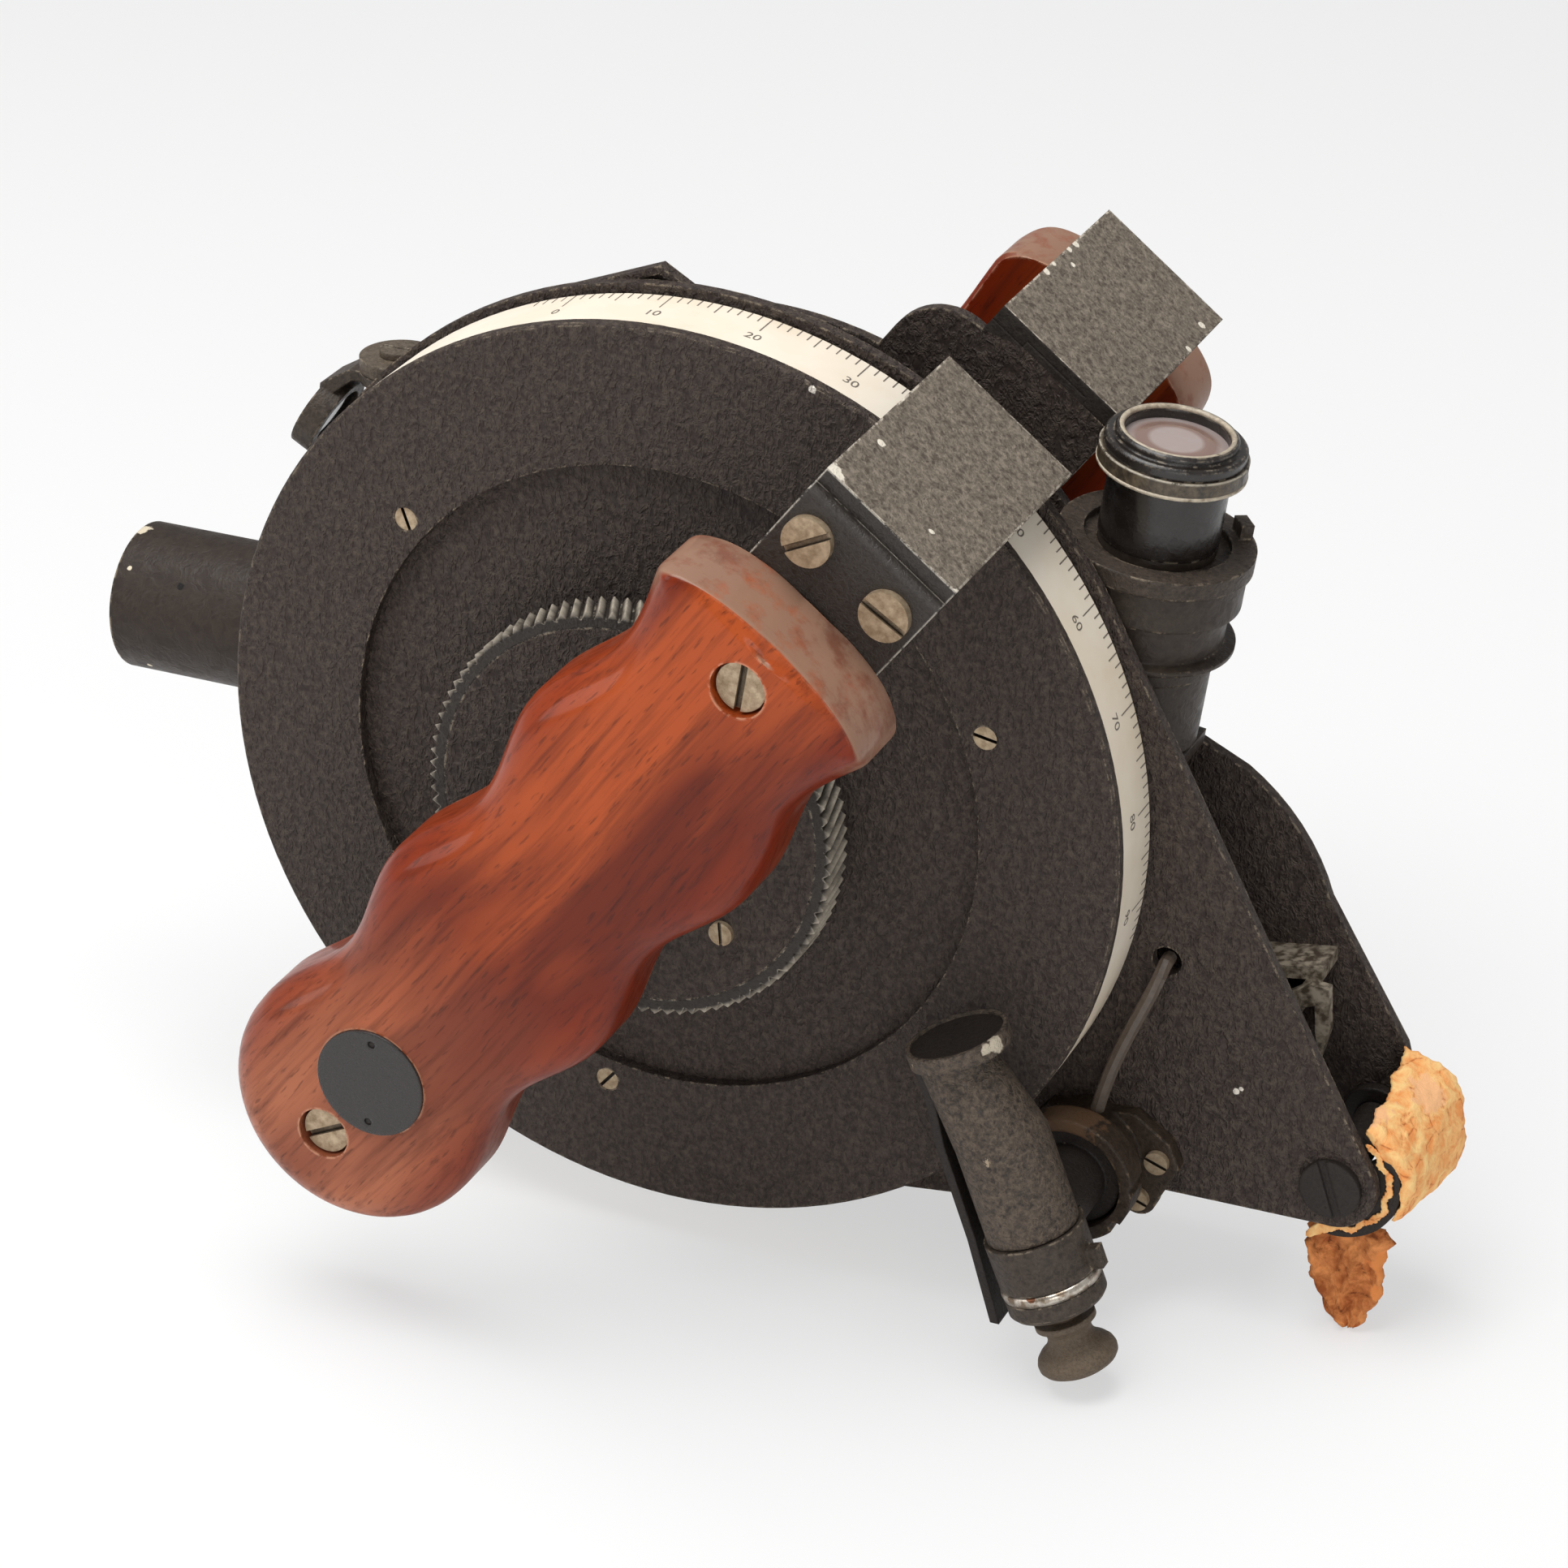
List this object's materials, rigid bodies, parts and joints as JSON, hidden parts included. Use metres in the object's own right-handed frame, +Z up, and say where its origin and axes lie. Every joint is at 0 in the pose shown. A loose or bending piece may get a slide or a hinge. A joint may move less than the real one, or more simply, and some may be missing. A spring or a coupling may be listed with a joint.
{
  "type": "bubble sextant",
  "caption": "Hand-held aircraft bubble sextant with a graduated drum, thumb wheel, sight tube, bubble unit, swivel lamp, forehead pad and wooden grips.",
  "frame": {"origin": "on the drum axis in the plane of the drum's front face, between the two grips, with the instrument in its working attitude", "axes": "+X to the eye end (right in the picture), -X along the sight tube to the star, +Y to the rear, +Z up, with the sight line level"},
  "size_m": [0.1833, 0.1173, 0.1282],
  "materials": {
    "crackle_paint": "black crackle paint, worn",
    "gloss_paint": "black satin paint",
    "worn_paint": "black paint worn to a grey sheen, chipped edges",
    "wood": "polished reddish-brown hardwood",
    "screw_brass": "worn nickel on brass",
    "brass": "worn satin brass",
    "bright_steel": "brushed",
    "scale_white": "matte white paint with black graduations",
    "lens_glass": "clear, slightly cloudy",
    "mirror_glass": "silvered",
    "shade_glass": "dark neutral shade glass",
    "cable": "black insulated wire",
    "leather": "worn tan leather, frayed edge"
  },
  "bodies": {
    "housing": {"front_plate": "crackle_paint", "rear_plate": "crackle_paint", "inner_wall": "gloss_paint", "sight_tube": "crackle_paint", "tube_collar": "gloss_paint", "objective_lens": "lens_glass", "lens_ring": "worn_paint", "index_hood": "crackle_paint", "front_bracket": "worn_paint", "rear_bracket": "worn_paint", "front_strap": "crackle_paint", "rear_strap": "crackle_paint", "front_grip": "wood", "rear_grip": "wood", "strap_screws": "screw_brass", "grip_screws": "screw_brass", "badge": "gloss_paint", "badge_pins": "screw_brass", "spindle_bush": "brass", "arbor_bushes": "brass", "reflector_holder": "gloss_paint", "bubble_reflector": "lens_glass", "bubble_saddle": "gloss_paint", "bubble_body": "gloss_paint", "bubble_vial": "lens_glass", "bubble_barrel": "gloss_paint", "brass_ring": "brass", "lens_cell": "gloss_paint", "bubble_lens": "lens_glass", "shade_post": "worn_paint", "shade_screw": "screw_brass", "lamp_base": "brass", "lamp_base_screws": "screw_brass", "lamp_lead": "cable", "corner_pin": "crackle_paint", "eye_bracket": "bright_steel"},
    "drum": {"drum_disc": "crackle_paint", "centre_disc": "crackle_paint", "scale_band": "scale_white", "drum_screws": "screw_brass", "thumb_wheel": "worn_paint", "wheel_cap": "crackle_paint", "wheel_screws": "screw_brass", "spindle": "bright_steel"},
    "mirror": {"mirror_arbor": "bright_steel", "mirror_table": "gloss_paint", "index_mirror": "mirror_glass"},
    "bubble_size_ring": {"bubble_ring": "worn_paint"},
    "shade": {"shade_frame": "worn_paint", "shade_glass": "shade_glass"},
    "lamp": {"lamp_hub": "gloss_paint", "lamp_body": "crackle_paint", "lamp_window": "gloss_paint", "lamp_tail": "worn_paint", "lamp_clip": "gloss_paint", "lamp_bulb": "lens_glass"},
    "knob": {"push_knob": "worn_paint", "knob_spring": "bright_steel"},
    "pad": {"pad_plate": "gloss_paint", "pad_leather": "leather"}
  },
  "joints": [
    {"name": "drum_turn", "type": "hinge", "parent": "housing", "child": "drum", "pos_m": [0, 0, 0], "axis": [0, 1, 0], "range_deg": [-56, 56]},
    {"name": "mirror_tilt", "type": "hinge", "parent": "housing", "child": "mirror", "pos_m": [-0.0196, 0.0217, 0], "axis": [0, 1, 0], "range_deg": [-22.6, 22.6]},
    {"name": "bubble_size", "type": "hinge", "parent": "housing", "child": "bubble_size_ring", "pos_m": [0.0496, 0.0255, 0], "axis": [0.1426, 0, 0.9898], "range_deg": [-60, 60]},
    {"name": "shade_swing", "type": "hinge", "parent": "housing", "child": "shade", "pos_m": [-0.0465, 0.0217, 0.04], "axis": [0, 0, -1], "range_deg": [0, 70]},
    {"name": "lamp_swivel", "type": "hinge", "parent": "housing", "child": "lamp", "pos_m": [0.05421, -0.01, -0.04437], "axis": [0, 1, 0], "range_deg": [-20, 40]},
    {"name": "knob_push", "type": "slide", "parent": "lamp", "child": "knob", "axis": [-0.3502, 0, 0.9367], "range_m": [0, 0.0018], "stiffness_N_per_m": 500, "springref_m": -0.001},
    {"name": "pad_turn", "type": "hinge", "parent": "housing", "child": "pad", "pos_m": [0.0851, 0.0217, -0.0431], "axis": [0, 1, 0], "range_deg": [-25, 20]}
  ],
  "couplings": [
    {"joint": "mirror_tilt", "follows": "drum_turn", "ratio": -0.4}
  ]
}
